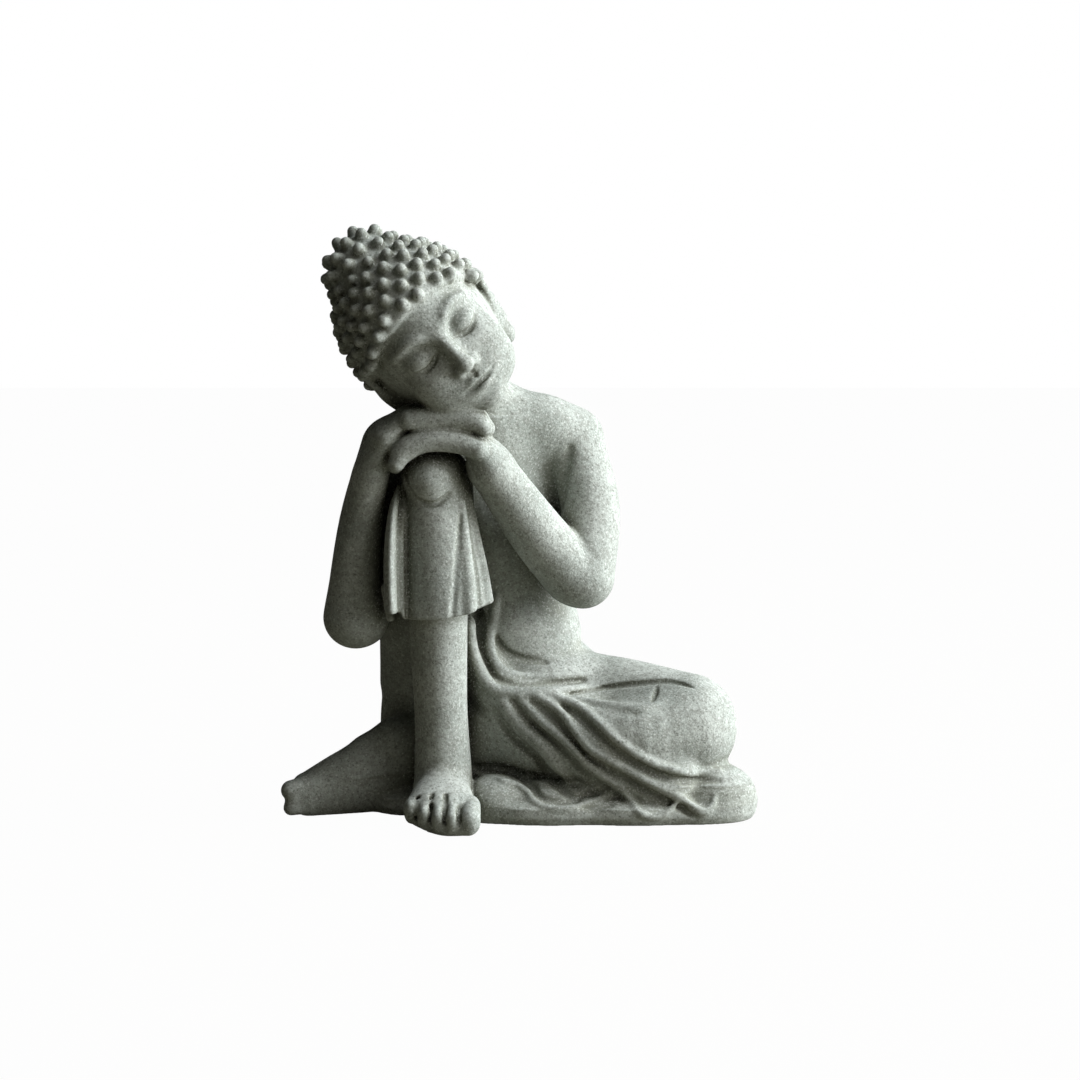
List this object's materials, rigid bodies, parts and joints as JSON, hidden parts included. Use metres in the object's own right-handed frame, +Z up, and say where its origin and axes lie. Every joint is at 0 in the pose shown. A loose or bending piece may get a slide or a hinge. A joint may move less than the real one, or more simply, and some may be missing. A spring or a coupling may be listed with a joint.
{
  "type": "resting figurine",
  "caption": "Cast-stone ornament of a seated robed figure with curled hair, its tilted head resting on its hands over a raised knee.",
  "frame": {"origin": "middle of the footprint's box, on the surface that the felt pads stand on", "axes": "+Z up, -Y the way the raised knee and toes point, +X towards the folded left knee, which is the viewer's right"},
  "size_m": [0.1614, 0.0986, 0.1997],
  "materials": {
    "stone": "rough greenish grey sandstone with pale grains",
    "dowel_steel": "plain drawn rod",
    "felt": "dark felt"
  },
  "bodies": {
    "root": {"right_shin_and_foot": "stone", "ground_cloth": "stone", "left_arm": "stone", "right_arm": "stone", "head": "stone", "torso": "stone", "hips_and_lap": "stone", "raised_knee_robe": "stone", "folded_left_leg": "stone", "left_foot": "stone", "neck_dowel": "dowel_steel", "left_shoulder_dowel": "dowel_steel", "right_shoulder_dowel": "dowel_steel", "waist_dowel_left": "dowel_steel", "waist_dowel_right": "dowel_steel", "raised_knee_dowel": "dowel_steel", "raised_thigh_dowel": "dowel_steel", "folded_thigh_dowel": "dowel_steel", "left_ankle_dowel": "dowel_steel", "seat_dowel_left": "dowel_steel", "seat_dowel_right": "dowel_steel", "right_foot_pad": "felt", "front_left_pad": "felt", "front_middle_pad": "felt", "back_left_pad": "felt", "back_right_pad": "felt"}
  },
  "joints": []
}
